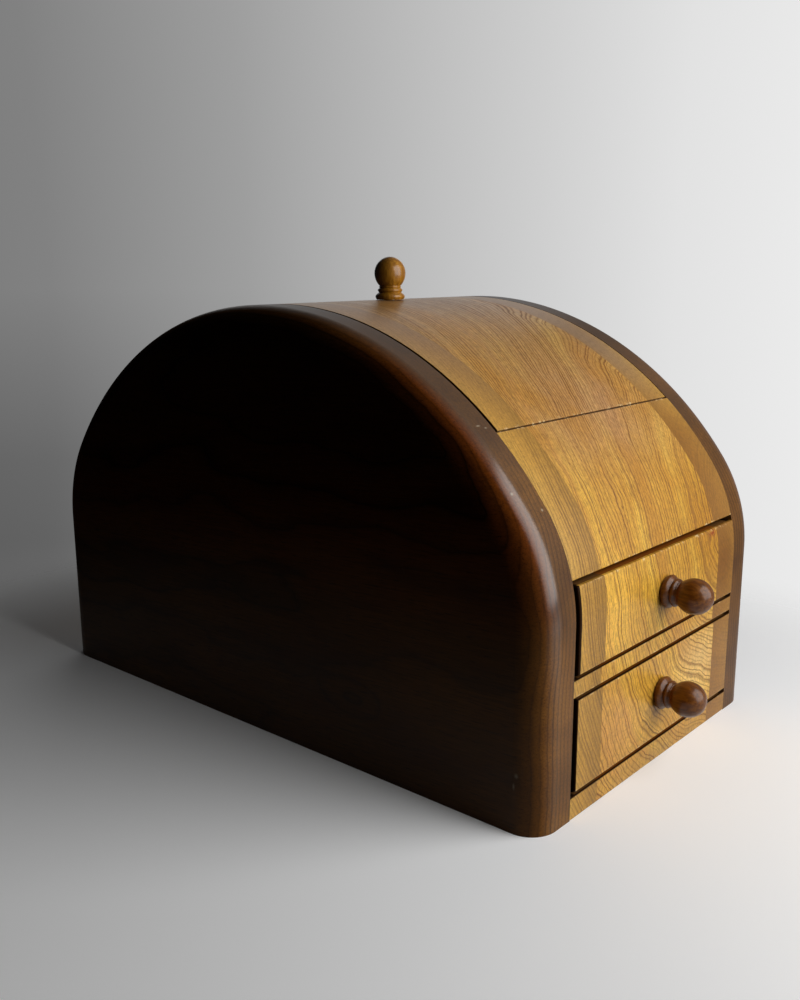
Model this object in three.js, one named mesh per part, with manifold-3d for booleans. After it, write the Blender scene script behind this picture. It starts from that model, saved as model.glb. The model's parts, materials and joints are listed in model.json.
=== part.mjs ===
// A jewelry box sawn from one laminated block of wood.
//
// The block is a centre board between two brown strips. It is sawn to an arch, the two drawers and the
// lid are sawn out of it, and a thick dark side panel is glued over each end of the cuts.
// Millimetres. +X is to the right of someone facing the drawers, +Y to the back and +Z up.
// The origin lies under the middle of the box.

import * as THREE from 'three'
import { mergeVertices } from 'three/addons/utils/BufferGeometryUtils.js'
import Module from 'manifold-3d'

const wasm = await Module()
wasm.setup()

// The arch, as seen from the side: straight walls, a shoulder arc each end and a flatter crown arc
const bodyLength = 300
const bodyHeight = 187.8
const straightWallHeight = 75.7
const shoulderRadius = 72.3

// Across the box
const blockWidth = 133.4
const leftStripThickness = 19.3
const rightStripThickness = 18.1
const sidePanelThickness = 21.4
const sidePanelRounding = 11.5

// Up the block, from the table to the floor of the well under the lid
const baseThickness = 9.2
const lowerOpeningHeight = 39.7
const dividerThickness = 7
const upperOpeningHeight = 37.4
const wellFloorThickness = 8.7

// The saw cuts: openings that stop short of the back, with corners that the blade could turn
const backWallThickness = 18
const openingCornerRadius = 9
const drawerBackGap = 2
const wallThicknessUnderArch = 18
const wellCornerRadius = 16

// The lid, which lies between two sloping cuts and lifts off
const lidSeamFromMiddle = 113.3
const lidSeamGap = 0.4
const lidLeftGap = 1.4
const lidRightGap = 0.4

// The drawers: side slices glued back on a scooped middle
const drawerSideThickness = 6
const drawerFrontThickness = 14
const drawerBackThickness = 12
const drawerFloorThickness = 7
const scoopCornerRadius = 14
const drawerCoreShift = 1.2
const drawerFootGap = 0.3
const drawerBevelRise = 1.5
const drawerBevelDepth = 3
const upperDrawerSizes = {
  topGap: 2.1,
  leftGap: 1.8,
  rightGap: 0.4,
  proud: 0.6,
  knobHeight: 17.9,
}
const lowerDrawerSizes = {
  topGap: 1.2,
  leftGap: 2.7,
  rightGap: 0.4,
  proud: 0.3,
  knobHeight: 20.6,
}

// The felt lining of each scoop and of the well
const feltThickness = 1.2
const feltBelowRim = 5

// The turned knobs, along their axis from the wood that they stand on
const knobFootRadius = 6.3
const knobFootHeight = 0.3
const knobLowerBeadRadius = 6.95
const knobLowerBeadTop = 3.2
const knobGrooveRadius = 5.5
const knobGrooveHeight = 0.3
const knobUpperBeadRadius = 5.85
const knobUpperBeadTop = 5.6
const knobCollarRadius = 5.35
const knobCollarTop = 6.5
const knobNeckRadius = 5.1
const knobBallRadius = 7.35
const knobBallHalfLength = 7.65
const knobTotalHeight = 19.7
const knobTenonRadius = 3
const knobTenonLength = 9
const knobAside = 1.5
const lidKnobForward = 2.6

// Fit and fineness
const glueGap = 0.3
const sawOverrun = 5
const archStep = Math.PI / 60
const cornerStep = Math.PI / 20
const bevelSteps = 6
const roundSteps = 24
const beadSteps = 4
const ballSteps = 10

// Colours, roughness
const walnut = { color: '#3a2317', roughness: 0.4 }
const centreWood = { color: '#b78a48', roughness: 0.45 }
const brownWood = { color: '#8a5c30', roughness: 0.45 }
const knobWood = { color: '#6e4425', roughness: 0.35 }
const felt = { color: '#2c4636', roughness: 1 }

// What follows from the arch
const halfLength = bodyLength / 2
const archRise = bodyHeight - straightWallHeight
const crownRadiusTop = halfLength ** 2 - 2 * halfLength * shoulderRadius + archRise ** 2
const crownRadius = crownRadiusTop / (2 * (archRise - shoulderRadius))
const crownCentreHeight = bodyHeight - crownRadius
const shoulderCentre = halfLength - shoulderRadius
const shoulderAngle = Math.atan2(straightWallHeight - crownCentreHeight, shoulderCentre)
const lidAngle = Math.asin(lidSeamFromMiddle / crownRadius)

// What follows across the box and up the block
const halfBlock = blockWidth / 2
const coreLeft = leftStripThickness - halfBlock
const coreRight = halfBlock - rightStripThickness
const halfWidth = halfBlock + sidePanelThickness
const lowerFloor = baseThickness
const lowerCeiling = lowerFloor + lowerOpeningHeight
const upperFloor = lowerCeiling + dividerThickness
const upperCeiling = upperFloor + upperOpeningHeight
const wellFloor = upperCeiling + wellFloorThickness
const openingBack = halfLength - backWallThickness

// Shapes are drawn as (y, z) and sawn along x
const drawnToBox = new THREE.Matrix4().makeBasis(
  new THREE.Vector3(0, 1, 0),
  new THREE.Vector3(0, 0, 1),
  new THREE.Vector3(1, 0, 0),
)

function solidFrom(geometry) {
  geometry.deleteAttribute('normal')
  geometry.deleteAttribute('uv')
  const merged = mergeVertices(geometry)
  const mesh = new wasm.Mesh({
    numProp: 3,
    vertProperties: Float32Array.from(merged.attributes.position.array),
    triVerts: Uint32Array.from(merged.index.array),
  })
  return new wasm.Manifold(mesh)
}

function geometryFrom(solid) {
  const mesh = solid.getMesh()
  const geometry = new THREE.BufferGeometry()
  geometry.setAttribute('position', new THREE.BufferAttribute(mesh.vertProperties, 3))
  geometry.setIndex(new THREE.BufferAttribute(mesh.triVerts, 1))
  geometry.computeVertexNormals()
  return geometry
}

function sawn(shape, from, to) {
  const geometry = new THREE.ExtrudeGeometry(shape, { depth: to - from, bevelEnabled: false })
  geometry.applyMatrix4(drawnToBox)
  geometry.translate(from, 0, 0)
  return solidFrom(geometry)
}

function piece(name, solidOrGeometry, finish) {
  const isGeometry = solidOrGeometry instanceof THREE.BufferGeometry
  const geometry = isGeometry ? solidOrGeometry : geometryFrom(solidOrGeometry)
  const material = new THREE.MeshStandardMaterial({ ...finish, metalness: 0 })
  const mesh = new THREE.Mesh(geometry, material)
  mesh.name = name
  return mesh
}

function point(across, up) {
  return new THREE.Vector2(across, up)
}

// The points of an arc, about one step of its angle apart
function arc(across, up, radius, from, to, step) {
  const steps = Math.max(1, Math.round((to - from) / step))
  return new THREE.EllipseCurve(across, up, radius, radius, from, to).getPoints(steps)
}

// The arch, drawn inset from its outside by the thickness of a wall
function archOutline(inset, foot) {
  const wall = halfLength - inset
  const shoulder = shoulderRadius - inset
  const farAngle = Math.PI - shoulderAngle
  return new THREE.Shape([
    point(-wall, foot),
    point(wall, foot),
    ...arc(shoulderCentre, straightWallHeight, shoulder, 0, shoulderAngle, archStep),
    ...arc(0, crownCentreHeight, crownRadius - inset, shoulderAngle, farAngle, archStep),
    ...arc(-shoulderCentre, straightWallHeight, shoulder, farAngle, Math.PI, archStep),
  ])
}

// How far the inset arch reaches from the middle at a height
function archHalfLengthAt(height, inset) {
  const shoulder = shoulderRadius - inset
  const crown = crownRadius - inset
  const overShoulder = height - straightWallHeight
  if (overShoulder <= 0) return halfLength - inset
  if (overShoulder <= shoulder * Math.sin(shoulderAngle)) {
    return shoulderCentre + Math.sqrt(shoulder ** 2 - overShoulder ** 2)
  }
  return Math.sqrt(crown ** 2 - (height - crownCentreHeight) ** 2)
}

// A drawer or its opening: round at the back, square at the front but for a bevel under the drawer's edge
function slotOutline({ front, back, bottom, top, radius, rise, depth }) {
  return new THREE.Shape([
    point(front, top),
    point(front, bottom + rise),
    point(front + depth, bottom),
    ...arc(back - radius, bottom + radius, radius, -Math.PI / 2, 0, cornerStep),
    ...arc(back - radius, top - radius, radius, 0, Math.PI / 2, cornerStep),
  ])
}

// A hollow that is open at the top, with round corners along its floor
function troughOutline({ front, back, floor, radius }, rim) {
  return new THREE.Shape([
    point(back, rim),
    point(front, rim),
    ...arc(front + radius, floor + radius, radius, Math.PI, 1.5 * Math.PI, cornerStep),
    ...arc(back - radius, floor + radius, radius, 1.5 * Math.PI, 2 * Math.PI, cornerStep),
  ])
}

function smallerTrough({ front, back, floor, radius }, by) {
  return { front: front + by, back: back - by, floor: floor + by, radius: radius - by }
}

// The wedge between the two lid cuts, which slope towards the point that they would meet in
function wedgeOutline(meetingHeight) {
  const near = crownRadius - wallThicknessUnderArch - sawOverrun
  const far = crownRadius / Math.cos(lidAngle) + sawOverrun
  const acrossShare = Math.sin(lidAngle)
  const upShare = Math.cos(lidAngle)
  return new THREE.Shape([
    point(-near * acrossShare, meetingHeight + near * upShare),
    point(near * acrossShare, meetingHeight + near * upShare),
    point(far * acrossShare, meetingHeight + far * upShare),
    point(-far * acrossShare, meetingHeight + far * upShare),
  ])
}

// The side panels: the arch again, its outer edge rounded all the way but along the table
function sidePanel(side) {
  const belowTable = -sidePanelRounding - sawOverrun
  const rounded = new THREE.ExtrudeGeometry(archOutline(0, belowTable), {
    depth: 2 * (halfWidth - sidePanelRounding),
    bevelThickness: sidePanelRounding,
    bevelSize: sidePanelRounding,
    bevelOffset: -sidePanelRounding,
    bevelSegments: bevelSteps,
  })
  rounded.applyMatrix4(drawnToBox)
  rounded.translate(sidePanelRounding - halfWidth, 0, 0)
  const keptHeight = bodyHeight + sawOverrun
  const keptWidth = sidePanelThickness + sawOverrun
  const kept = new THREE.BoxGeometry(keptWidth, bodyLength + sawOverrun, keptHeight)
  kept.translate(side * (halfBlock + keptWidth / 2), 0, keptHeight / 2)
  return solidFrom(rounded).intersect(solidFrom(kept))
}

// The well under the lid follows the inside of the arch down to its own round corners
const wellRim = wellFloor + wellCornerRadius
const wellHalfLength = archHalfLengthAt(wellRim, wallThicknessUnderArch)
const well = {
  front: -wellHalfLength,
  back: wellHalfLength,
  floor: wellFloor,
  radius: wellCornerRadius,
}

function blockWithoutCuts(from, to) {
  return sawn(archOutline(0, 0), from, to)
}

function wellCut(from, to) {
  const underArch = sawn(archOutline(wallThicknessUnderArch, 0), from, to)
  return underArch.intersect(sawn(troughOutline(well, bodyHeight), from, to))
}

function drawerOpening(floor, ceiling, from, to) {
  const shape = slotOutline({
    front: -halfLength - sawOverrun,
    back: openingBack,
    bottom: floor,
    top: ceiling,
    radius: openingCornerRadius,
    rise: 0,
    depth: 0,
  })
  return sawn(shape, from, to)
}

// One lamination of the carcass, with the openings, the well and the lid's place sawn through it
function carcassBoard(from, to) {
  const cutFrom = from - sawOverrun
  const cutTo = to + sawOverrun
  return blockWithoutCuts(from, to)
    .subtract(drawerOpening(lowerFloor, lowerCeiling, cutFrom, cutTo))
    .subtract(drawerOpening(upperFloor, upperCeiling, cutFrom, cutTo))
    .subtract(wellCut(cutFrom, cutTo))
    .subtract(sawn(wedgeOutline(crownCentreHeight), cutFrom, cutTo))
}

// One lamination of the lid, a slab of the arch
const lidMeetingHeight = crownCentreHeight + lidSeamGap / Math.sin(lidAngle)

function lidBoard(from, to) {
  const cutFrom = from - sawOverrun
  const cutTo = to + sawOverrun
  return blockWithoutCuts(from, to)
    .subtract(sawn(archOutline(wallThicknessUnderArch, -sawOverrun), cutFrom, cutTo))
    .intersect(sawn(wedgeOutline(lidMeetingHeight), cutFrom, cutTo))
}

// A strip of felt laid along a hollow, which turns up at both ends
function lining(hollow, rim, from, to) {
  const outside = smallerTrough(hollow, glueGap)
  const inside = smallerTrough(hollow, glueGap + feltThickness)
  const left = from + glueGap
  const right = to - glueGap
  const whole = sawn(troughOutline(outside, rim), left, right)
  return whole.subtract(sawn(troughOutline(inside, rim + sawOverrun), left - sawOverrun, right + sawOverrun))
}

// A knob is turned in one piece with the tenon that is glued into its hole
function knobGeometry() {
  const profile = new THREE.Path()
  const ballCentre = knobTotalHeight - knobBallHalfLength
  const grooveTop = knobLowerBeadTop + knobGrooveHeight
  const bead = (radius, edge, top) => {
    const from = profile.currentPoint.y
    profile.quadraticCurveTo(2 * radius - edge, (from + top) / 2, edge, top)
  }
  profile.moveTo(0, -knobTenonLength)
  profile.lineTo(knobTenonRadius, -knobTenonLength)
  profile.lineTo(knobTenonRadius, 0)
  profile.lineTo(knobFootRadius, 0)
  profile.lineTo(knobFootRadius, knobFootHeight)
  bead(knobLowerBeadRadius, knobFootRadius, knobLowerBeadTop)
  profile.lineTo(knobGrooveRadius, knobLowerBeadTop)
  profile.lineTo(knobGrooveRadius, grooveTop)
  bead(knobUpperBeadRadius, knobGrooveRadius, knobUpperBeadTop)
  profile.lineTo(knobCollarRadius, knobUpperBeadTop)
  profile.lineTo(knobCollarRadius, knobCollarTop)
  const points = profile.getPoints(beadSteps)
  const neckAngle = -Math.acos(knobNeckRadius / knobBallRadius)
  for (let step = 0; step < ballSteps; step += 1) {
    const angle = neckAngle + (step / ballSteps) * (Math.PI / 2 - neckAngle)
    const out = knobBallRadius * Math.cos(angle)
    points.push(point(out, ballCentre + knobBallHalfLength * Math.sin(angle)))
  }
  points.push(point(0, knobTotalHeight))
  return new THREE.LatheGeometry(points, roundSteps)
}

function tenonHole() {
  const depth = knobTenonLength + glueGap
  const radius = knobTenonRadius + glueGap
  const hole = new THREE.CylinderGeometry(radius, radius, depth + sawOverrun, roundSteps)
  return hole.translate(0, (sawOverrun - depth) / 2, 0)
}

const box = new THREE.Group()

// The two panels and the three laminations of the carcass, all glued face to face
box.add(piece('left_side_panel', sidePanel(-1), walnut))
box.add(piece('right_side_panel', sidePanel(1), walnut))
box.add(piece('body_left_strip', carcassBoard(-halfBlock, coreLeft), brownWood))
box.add(piece('body_core', carcassBoard(coreLeft, coreRight), centreWood))
box.add(piece('body_right_strip', carcassBoard(coreRight, halfBlock), brownWood))
box.add(piece('well_felt', lining(well, wellRim, -halfBlock, halfBlock), felt))

// The lid, with a knob on top of the arch
const lid = new THREE.Group()
const lidLeft = lidLeftGap - halfBlock
const lidRight = halfBlock - lidRightGap
const lidShift = (lidLeftGap - lidRightGap) / 2
const lidCoreLeft = coreLeft + lidShift
const lidCoreRight = coreRight + lidShift
const lidKnobSeat = crownCentreHeight + Math.sqrt(crownRadius ** 2 - lidKnobForward ** 2)
const lidHole = tenonHole().rotateX(Math.PI / 2).translate(0, -lidKnobForward, lidKnobSeat)
const lidKnob = piece('lid_knob', knobGeometry(), knobWood)
lidKnob.rotation.x = Math.PI / 2
lidKnob.position.set(0, -lidKnobForward, lidKnobSeat + glueGap)
lid.add(piece('lid_left_strip', lidBoard(lidLeft, lidCoreLeft), brownWood))
lid.add(piece('lid_core', lidBoard(lidCoreLeft, lidCoreRight).subtract(solidFrom(lidHole)), centreWood))
lid.add(piece('lid_right_strip', lidBoard(lidCoreRight, lidRight), brownWood))
lid.add(lidKnob)
box.add(lid)

// A drawer: its front still follows the arch that it was sawn from
function drawerGroup(name, floor, ceiling, sizes) {
  const group = new THREE.Group()
  const front = -halfLength - sizes.proud
  const bottom = floor + drawerFootGap
  const top = ceiling - sizes.topGap
  const back = openingBack - drawerBackGap
  const left = sizes.leftGap - halfBlock
  const right = halfBlock - sizes.rightGap
  const insideLeft = left + drawerSideThickness
  const insideRight = right - drawerSideThickness
  const drawerCoreLeft = coreLeft + drawerCoreShift
  const drawerCoreRight = coreRight + drawerCoreShift
  const scoop = {
    front: front + drawerFrontThickness,
    back: back - drawerBackThickness,
    floor: bottom + drawerFloorThickness,
    radius: scoopCornerRadius,
  }
  const slot = {
    front,
    back,
    bottom,
    top,
    radius: openingCornerRadius,
    rise: drawerBevelRise,
    depth: drawerBevelDepth,
  }

  const slice = (from, to) => {
    const sawnFront = blockWithoutCuts(from, to).translate([0, -sizes.proud, 0])
    return sawnFront.intersect(sawn(slotOutline(slot), from - sawOverrun, to + sawOverrun))
  }
  const scooped = (from, to) => {
    const cut = sawn(troughOutline(scoop, top + sawOverrun), from - sawOverrun, to + sawOverrun)
    return slice(from, to).subtract(cut)
  }

  const knobHole = tenonHole().rotateX(Math.PI).translate(knobAside, front, bottom + sizes.knobHeight)
  const knob = piece(`${name}_knob`, knobGeometry(), knobWood)
  knob.rotation.x = Math.PI
  knob.position.set(knobAside, front - glueGap, bottom + sizes.knobHeight)

  const core = scooped(drawerCoreLeft, drawerCoreRight).subtract(solidFrom(knobHole))
  const liner = lining(scoop, top - feltBelowRim, insideLeft, insideRight)
  group.add(piece(`${name}_left_side`, slice(left, insideLeft), brownWood))
  group.add(piece(`${name}_left_strip`, scooped(insideLeft, drawerCoreLeft), brownWood))
  group.add(piece(`${name}_core`, core, centreWood))
  group.add(piece(`${name}_right_strip`, scooped(drawerCoreRight, insideRight), brownWood))
  group.add(piece(`${name}_right_side`, slice(insideRight, right), brownWood))
  group.add(piece(`${name}_felt`, liner, felt))
  group.add(knob)
  return group
}

box.add(drawerGroup('upper_drawer', upperFloor, upperCeiling, upperDrawerSizes))
box.add(drawerGroup('lower_drawer', lowerFloor, lowerCeiling, lowerDrawerSizes))

export default box
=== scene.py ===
import json
import math

import bmesh
import bpy
from mathutils import Matrix, Vector, noise

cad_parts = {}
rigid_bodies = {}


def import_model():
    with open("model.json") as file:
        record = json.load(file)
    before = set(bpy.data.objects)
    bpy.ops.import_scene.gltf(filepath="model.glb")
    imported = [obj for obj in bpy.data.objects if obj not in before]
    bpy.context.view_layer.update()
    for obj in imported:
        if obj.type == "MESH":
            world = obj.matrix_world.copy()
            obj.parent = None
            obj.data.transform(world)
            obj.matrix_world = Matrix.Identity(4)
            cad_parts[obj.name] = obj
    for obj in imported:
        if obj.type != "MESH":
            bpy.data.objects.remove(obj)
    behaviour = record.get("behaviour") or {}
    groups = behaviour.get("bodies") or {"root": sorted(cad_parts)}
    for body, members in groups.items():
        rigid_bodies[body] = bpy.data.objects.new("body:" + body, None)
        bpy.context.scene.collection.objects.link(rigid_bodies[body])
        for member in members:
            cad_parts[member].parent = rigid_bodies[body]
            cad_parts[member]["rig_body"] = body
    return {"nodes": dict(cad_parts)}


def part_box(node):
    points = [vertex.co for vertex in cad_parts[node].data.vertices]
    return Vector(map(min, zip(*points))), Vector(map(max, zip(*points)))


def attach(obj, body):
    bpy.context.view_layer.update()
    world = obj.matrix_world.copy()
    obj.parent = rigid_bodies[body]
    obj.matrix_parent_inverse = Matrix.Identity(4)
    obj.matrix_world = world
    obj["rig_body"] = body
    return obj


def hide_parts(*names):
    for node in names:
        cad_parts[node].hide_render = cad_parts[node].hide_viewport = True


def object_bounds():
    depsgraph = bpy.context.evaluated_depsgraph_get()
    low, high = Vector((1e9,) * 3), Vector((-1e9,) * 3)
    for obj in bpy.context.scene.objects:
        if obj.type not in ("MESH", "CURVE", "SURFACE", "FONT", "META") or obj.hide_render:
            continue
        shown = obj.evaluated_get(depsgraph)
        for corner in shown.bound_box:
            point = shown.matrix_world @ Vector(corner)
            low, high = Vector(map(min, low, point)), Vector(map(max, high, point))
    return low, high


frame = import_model()
cad_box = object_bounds()

# The view
# The camera stands where the photographer stood: half a metre from the box, off its front left
# corner and a hand above the lid, with a lens that takes in the whole arch.
MM = 0.001
CAMERA_PLACE = Vector((-377.6, -337.4, 204.0)) * MM
CAMERA_YAW = math.radians(48.92)
CAMERA_PITCH = math.radians(-12.64)
CAMERA_ROLL = math.radians(-0.26)
LENS_LENGTH = 37.76
SENSOR_LONG_SIDE = 36
NEAREST_SEEN = 10 * MM

camera_data = bpy.data.cameras.new("camera")
camera_data.sensor_width = SENSOR_LONG_SIDE
camera_data.lens = LENS_LENGTH
camera_data.clip_start = NEAREST_SEEN
camera = bpy.data.objects.new("camera", camera_data)
facing = Matrix.Rotation(-CAMERA_YAW, 4, "Z") @ Matrix.Rotation(math.pi / 2 + CAMERA_PITCH, 4, "X")
camera.matrix_world = Matrix.Translation(CAMERA_PLACE) @ facing @ Matrix.Rotation(CAMERA_ROLL, 4, "Z")
scene = bpy.context.scene
scene.collection.objects.link(camera)
scene.camera = camera
scene.view_settings.view_transform = "Standard"

# The studio
# A pale grey sheet of paper under the box runs out into a wall. The wall's tones are painted light and
# shade: lighter to the right, towards the window, and darker low on its left as a painted shadow of the box.
# One large window in front of the drawers lights the box, and a dim card fills the far side.
FLOOR_RADIUS = 600 * MM
FLOOR_SEGMENTS = 96
FADE_FROM_BOX = (35 * MM, 200 * MM)
FADE_BEHIND_BOX = (-140 * MM, 20 * MM)
FADE_AT_RIM = (0.68 * FLOOR_RADIUS, 0.98 * FLOOR_RADIUS)
PAPER_REFLECTANCE = 0.2
PAPER_SEEN = 1.02
ROOM_LIGHT = 0.014
WALL_TONES = ((-0.37, 0.205), (-0.31, 0.22), (-0.14, 0.34), (0.13, 0.62), (0.25, 0.76), (0.36, 0.83))
WALL_DUSK = 0.56
DUSK_FROM_RIGHT = (0.05, -0.32)
DUSK_FROM_LEVEL = ((0.02, 0.0), (0.17, 0.85), (0.24, 1.0), (0.32, 0.8), (0.41, 0.45), (0.5, 0.3))
MIRRORED_FROM_LEFT = (-0.6, 0.2)
MIRRORED_SHARE = 0.25
# Each lamp's name, the side that it stands on, its distance, width and height in mm, and its watts.
LAMPS = (
    ("window", Vector((0.213, -0.898, 0.384)), 645, 600, 655, 5.05),
    ("fill_card", Vector((0.72, 0.65, 0.24)), 900, 700, 700, 1.0),
)
NODE_FAMILIES = ("ShaderNode", "GeometryNode", "FunctionNode", "Node")


def linear(colour):
    """The linear value of a colour written as #rrggbb."""
    shares = [int(colour[i:i + 2], 16) / 255 for i in (1, 3, 5)]
    return (*(s / 12.92 if s <= 0.04045 else ((s + 0.055) / 1.055) ** 2.4 for s in shares), 1)


def add(tree, kind, sockets=(), stops=(), out="", **settings):
    """Adds a node with its settings, its values and links, and a ramp's stops.

    The kind goes without its family, and an operation follows it, as in Math.ADD. The sockets come in order
    or by name. Gives the named output, or the first in use, or the node itself where out is None.
    """
    kind, _, operation = kind.partition(".")
    family = next(family for family in NODE_FAMILIES if hasattr(bpy.types, family + kind))
    made = tree.nodes.new(family + kind)
    if operation:
        made.operation = operation
    for name, value in settings.items():
        setattr(made, name, value)
    for socket, value in sockets.items() if isinstance(sockets, dict) else enumerate(sockets):
        if isinstance(value, bpy.types.NodeSocket):
            tree.links.new(value, made.inputs[socket])
        elif isinstance(value, str) and value.startswith("#"):
            made.inputs[socket].default_value = linear(value)
        else:
            made.inputs[socket].default_value = value
    for i, (place, tone) in enumerate(stops):
        elements = made.color_ramp.elements
        element = elements[i] if i < len(elements) else elements.new(1)
        element.position = place
        element.color = linear(tone) if isinstance(tone, str) else (tone, tone, tone, 1)
    if out is None:
        return made
    return made.outputs[out] if out else next(output for output in made.outputs if output.enabled)


def new_material(name):
    """A material and its empty node tree."""
    material = bpy.data.materials.new(name)
    material.use_nodes = True
    material.node_tree.nodes.clear()
    return material, material.node_tree


def mesh_object(name, points, faces):
    """An object at the origin with this mesh."""
    mesh = bpy.data.meshes.new(name)
    mesh.from_pydata(points, [], faces)
    mesh.update()
    made = bpy.data.objects.new(name, mesh)
    scene.collection.objects.link(made)
    return made


def paper():
    """Matt paper, which is seen and mirrored brighter than it lights the box, and which ends softly."""
    material, tree = new_material("pale_paper")
    rays = add(tree, "LightPath", out=None).outputs
    place = add(tree, "TexCoord", out="Object")
    beyond = add(tree, "VectorMath.ABSOLUTE", (place,))
    beyond = add(tree, "VectorMath.SUBTRACT", (beyond, (cad_box[1].x, cad_box[1].y, 0)))
    beyond = add(tree, "VectorMath.MAXIMUM", (beyond, (0, 0, 0)))
    away = add(tree, "VectorMath.LENGTH", (beyond,))
    gone = add(tree, "MapRange", (away, *FADE_FROM_BOX), interpolation_type="SMOOTHSTEP")
    onward = Vector((math.sin(CAMERA_YAW), math.cos(CAMERA_YAW), 0))
    depth = add(tree, "VectorMath.DOT_PRODUCT", (place, onward))
    behind = add(tree, "MapRange", (depth, *FADE_BEHIND_BOX))
    gone = add(tree, "Math.MULTIPLY", (gone, behind))
    from_middle = add(tree, "VectorMath.LENGTH", (place,))
    at_rim = add(tree, "MapRange", (from_middle, *FADE_AT_RIM), interpolation_type="SMOOTHSTEP")
    gone = add(tree, "Math.MAXIMUM", (gone, at_rim))
    tone = add(tree, "MapRange", (rays["Is Diffuse Ray"], 0, 1, PAPER_SEEN, PAPER_REFLECTANCE))
    sheet = add(tree, "BsdfDiffuse", {"Color": tone})
    mixed = add(tree, "MixShader", (gone, sheet, add(tree, "BsdfTransparent")))
    add(tree, "OutputMaterial", {"Surface": mixed}, out=None)
    return material


around = [2 * math.pi * i / FLOOR_SEGMENTS for i in range(FLOOR_SEGMENTS)]
floor = mesh_object(
    "floor", [(FLOOR_RADIUS * math.cos(a), FLOOR_RADIUS * math.sin(a), 0) for a in around],
    [list(range(FLOOR_SEGMENTS))])
floor.data.materials.append(paper())

world = bpy.data.worlds.new("wall")
scene.world = world
world.use_nodes = True
sky = world.node_tree
sky.nodes.clear()
rays = add(sky, "LightPath", out=None).outputs
looking = add(sky, "TexCoord", out="Generated")
to_the_right = Vector((math.cos(CAMERA_YAW), -math.sin(CAMERA_YAW), 0))
across = add(sky, "VectorMath.DOT_PRODUCT", (looking, to_the_right))
from_left = add(sky, "Math.ADD", (across, 0.5))
# Painted light: the wall is lighter to the right, towards the window.
tone = add(sky, "ValToRGB", (from_left,), [(0.5 + at, tone) for at, tone in WALL_TONES])
# Painted shade: the dusk darkens the wall low on its left, as the box's shadow.
leftwards = add(sky, "MapRange", (across, *DUSK_FROM_RIGHT))
below = add(sky, "Math.MULTIPLY", (add(sky, "SeparateXYZ", (looking,), out="Z"), -1))
dusk = add(sky, "Math.MULTIPLY", (leftwards, add(sky, "ValToRGB", (below,), DUSK_FROM_LEVEL)))
dusk = add(sky, "MapRange", (dusk, 0, 1, 1, WALL_DUSK))
tone = add(sky, "VectorMath.SCALE", {0: tone, "Scale": dusk})
mirrored = add(sky, "MapRange", (across, *MIRRORED_FROM_LEFT, 0, MIRRORED_SHARE))
mirrored = add(sky, "Math.MULTIPLY", (mirrored, rays["Is Glossy Ray"]))
seen = add(sky, "Math.MAXIMUM", (rays["Is Camera Ray"], mirrored))
wall = add(sky, "Background", {"Color": tone})
room = add(sky, "Background", {"Color": (ROOM_LIGHT, ROOM_LIGHT, ROOM_LIGHT, 1)})
add(sky, "OutputWorld", {"Surface": add(sky, "MixShader", (seen, room, wall))}, out=None)

box_middle = Vector((0, 0, (cad_box[0].z + cad_box[1].z) / 2))
for name, side, distance, width, height, watts in LAMPS:
    lamp_data = bpy.data.lights.new(name, "AREA")
    lamp_data.shape = "RECTANGLE"
    lamp_data.size, lamp_data.size_y, lamp_data.energy = width * MM, height * MM, watts
    lamp = bpy.data.objects.new(name, lamp_data)
    lamp.visible_camera = False
    place = Matrix.Translation(box_middle + side.normalized() * (distance * MM))
    lamp.matrix_world = place @ side.to_track_quat("Z", "Y").to_matrix().to_4x4()
    scene.collection.objects.link(lamp)

# The block: golden core
# The middle board of the block is a golden ring-porous wood. It was sawn through with the blade lying
# from side to side, for the two drawers, the well and the lid, and its front and top were sanded to an arch.
STRAIGHT_WALL = 75.7 * MM
SHOULDER_RADIUS = 72.3 * MM
BASE_TOP = 9.2 * MM
LOWER_OPENING = 39.7 * MM
DIVIDER = 7 * MM
UPPER_OPENING = 37.4 * MM
WELL_FLOOR = 8.7 * MM
BACK_WALL = 18 * MM
WALL_UNDER_ARCH = 18 * MM
OPENING_CORNER = 9 * MM
WELL_CORNER = 16 * MM
LID_SEAM_FROM_MIDDLE = 113.3 * MM
CURVE_STEP = 1.2 * MM
SANDED_EDGE = 0.45 * MM
SEAM_EDGE = 0.3 * MM
EASE_STEPS = 4
WEAR_REACH = 0.5 * MM
MERGE_WITHIN = 0.002 * MM
SMOOTH_ANGLE = math.radians(32)
# From here on, what only a material reads is in plain millimetres. Most of a cloud lies in its range, and
# the rings' width changes this often and this much, both in rings.
CLOUD_RANGE = (0.3, 0.7)
RING_CHANGES = 0.6
RING_UNEVEN = 1.3
PITH = (75, 0, 97)
GOLDEN_RING = 2.1
LID_RING = 1.3
LID_RINGS_FROM = (118, 150)
# Broad tones of the golden board: middle, size, share and colour. The two on the lid are partly the lid's
# own browner tone and partly painted shade and sheen, darker and greyer on its slope and top.
GOLDEN_TONES = (
    ((-40, -150, 78), (22, 90, 34), 0.75, "#eeb848"),
    ((44, -150, 96), (46, 60, 44), 0.85, "#aa7418"),
    ((-34, -150, 26), (34, 90, 30), 0.55, "#ca8f4c"),
    ((38, -150, 34), (34, 90, 30), 0.7, "#e8c074"),
    ((0, -115, 150), (100, 80, 45), 0.8, "#b88c62"),
    ((0, 0, 185), (220, 160, 70), 0.9, "#9c7750"),
    ((10, -150, 0), (90, 30, 13), 0.6, "#9a763c"),
)
KNOT = ((45, -148, 89.5), (5, 8, 2.6))
# How far behind the front the cuts take the sawn colour, which is partly rough sawn wood and partly painted
# shade in the gaps.
SAWN_EDGE = (0.45, 0.95)
SAWN_DEEP = 16
SAWN_END = 5
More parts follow.
